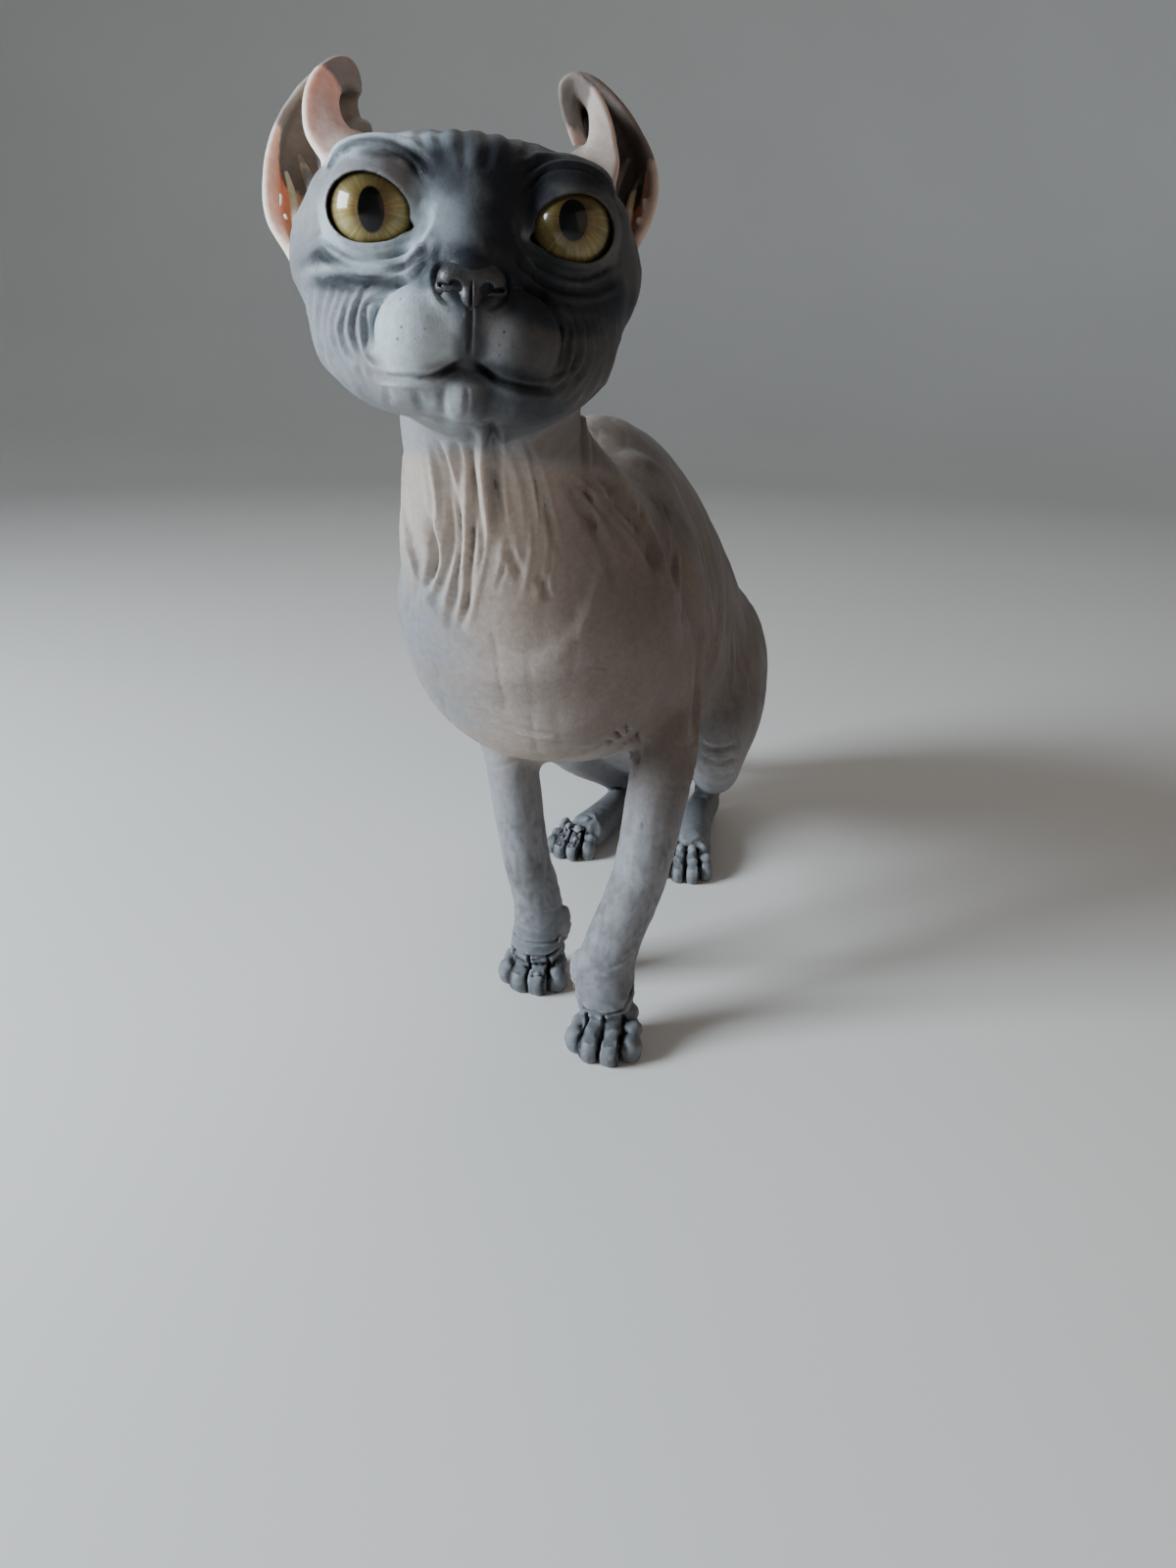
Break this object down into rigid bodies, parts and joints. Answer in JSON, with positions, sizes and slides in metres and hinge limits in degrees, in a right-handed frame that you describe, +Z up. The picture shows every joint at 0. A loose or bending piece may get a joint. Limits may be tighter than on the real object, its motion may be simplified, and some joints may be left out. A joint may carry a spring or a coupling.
{
  "type": "cat",
  "caption": "A hairless cat sitting upright on its haunches, front legs straight, head stretched forward, ears curled back and tail curled on the floor behind; a still figure.",
  "frame": {"origin": "middle of the bounding box, at floor level, under the belly", "axes": "+Z up, the cat faces -Y, +X is the cat's left side"},
  "size_m": [0.1392, 0.499, 0.3363],
  "materials": {
    "skin": "bare slate-grey skin, matt with a faint sheen, finely wrinkled",
    "skin_paw": "bare charcoal skin, matt, knuckly folds",
    "skin_ear": "thin pinkish skin, slightly translucent",
    "nose_leather": "near-black nose leather, slightly moist",
    "eye": "wet, glossy, golden-olive iris with a dark oval pupil",
    "claw": "pale horn, semi-gloss"
  },
  "bodies": {
    "root": {"claw_front_left_1": "claw", "claw_front_left_2": "claw", "claw_front_left_3": "claw", "claw_front_left_4": "claw", "claw_front_left_dew": "claw", "claw_front_right_1": "claw", "claw_front_right_2": "claw", "claw_front_right_3": "claw", "claw_front_right_4": "claw", "claw_front_right_dew": "claw", "claw_hind_left_1": "claw", "claw_hind_left_2": "claw", "claw_hind_left_3": "claw", "claw_hind_left_4": "claw", "claw_hind_right_1": "claw", "claw_hind_right_2": "claw", "claw_hind_right_3": "claw", "claw_hind_right_4": "claw", "ear_left": "skin_ear", "ear_right": "skin_ear", "eye_left": "eye", "eye_right": "eye", "foot_left": "skin_paw", "foot_right": "skin_paw", "forearm_left": "skin", "forearm_right": "skin", "head": "skin", "lower_jaw": "skin", "neck": "skin", "nose": "nose_leather", "paw_front_left": "skin_paw", "paw_front_right": "skin_paw", "shank_left": "skin", "shank_right": "skin", "tail_base": "skin", "tail_middle": "skin", "tail_tip": "skin", "thigh_left": "skin", "thigh_right": "skin", "trunk_front": "skin", "trunk_rear": "skin", "upper_arm_left": "skin", "upper_arm_right": "skin"}
  },
  "joints": []
}
